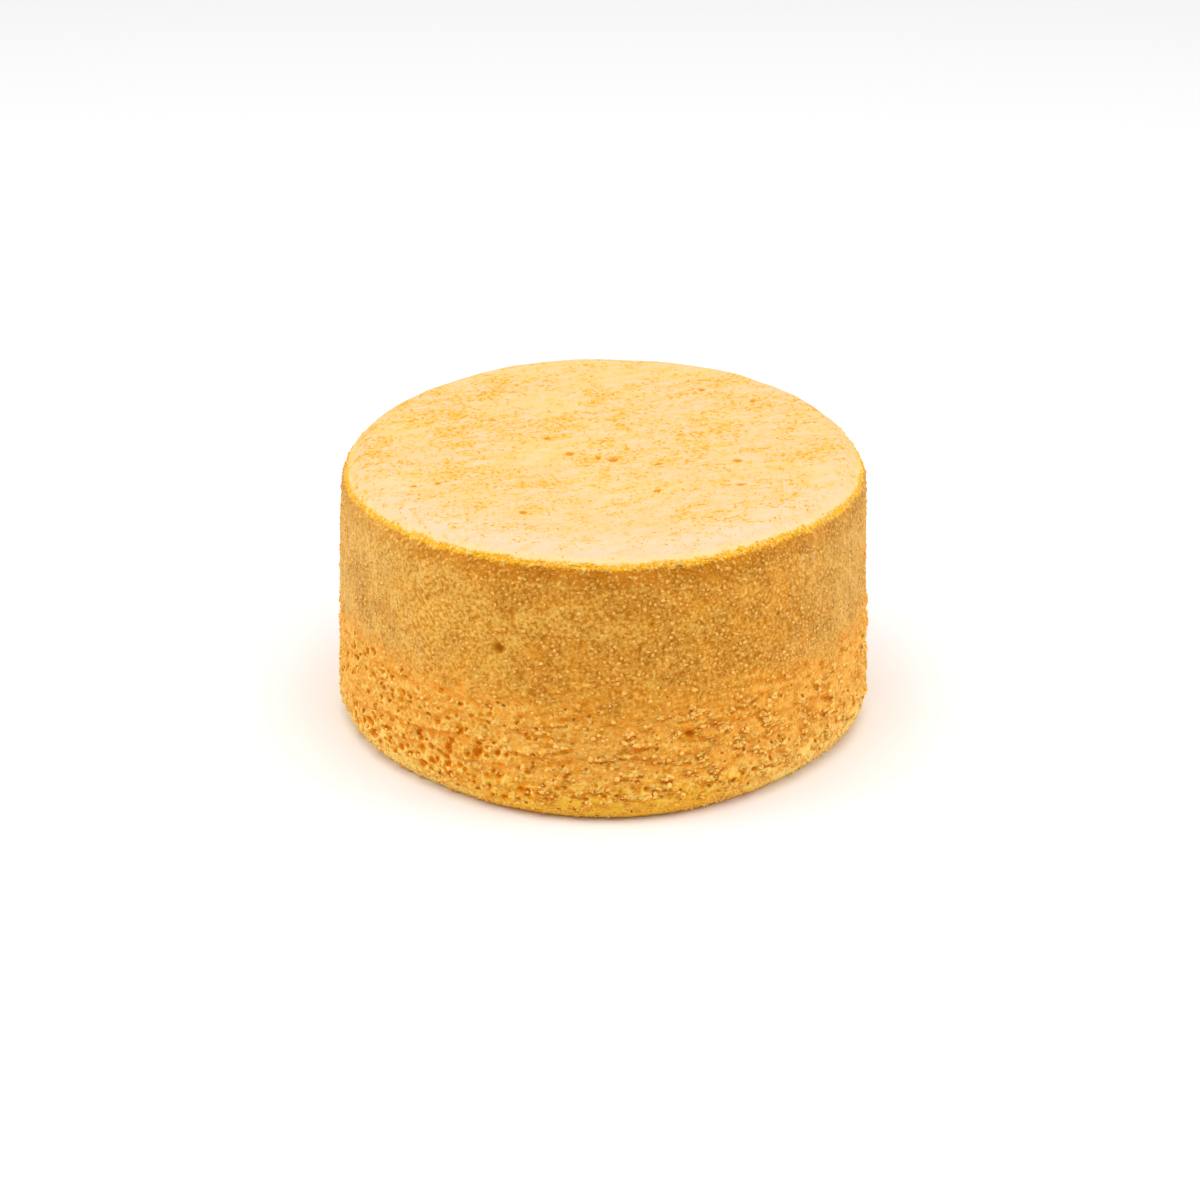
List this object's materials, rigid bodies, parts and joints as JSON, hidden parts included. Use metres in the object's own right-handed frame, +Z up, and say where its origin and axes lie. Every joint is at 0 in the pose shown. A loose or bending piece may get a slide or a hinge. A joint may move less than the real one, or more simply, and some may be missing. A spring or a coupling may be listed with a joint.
{
  "type": "mud cake",
  "caption": "Tall plain round golden cake, uncut and uniced, with a matt crust, a crumbly rim and a wrinkled, pitted lower side.",
  "frame": {"origin": "middle of the flat underside, where the cake rests", "axes": "+Z up through the middle of the cake; -Y towards the shown side; +X to its right"},
  "size_m": [0.2056, 0.2118, 0.1091],
  "materials": {
    "crust": "matt baked cake crust: tan-gold sides with fine crumb and pits, pale cream-gold top, golden-orange crumbly rim"
  },
  "bodies": {
    "root": {"cake": "crust"}
  },
  "joints": []
}
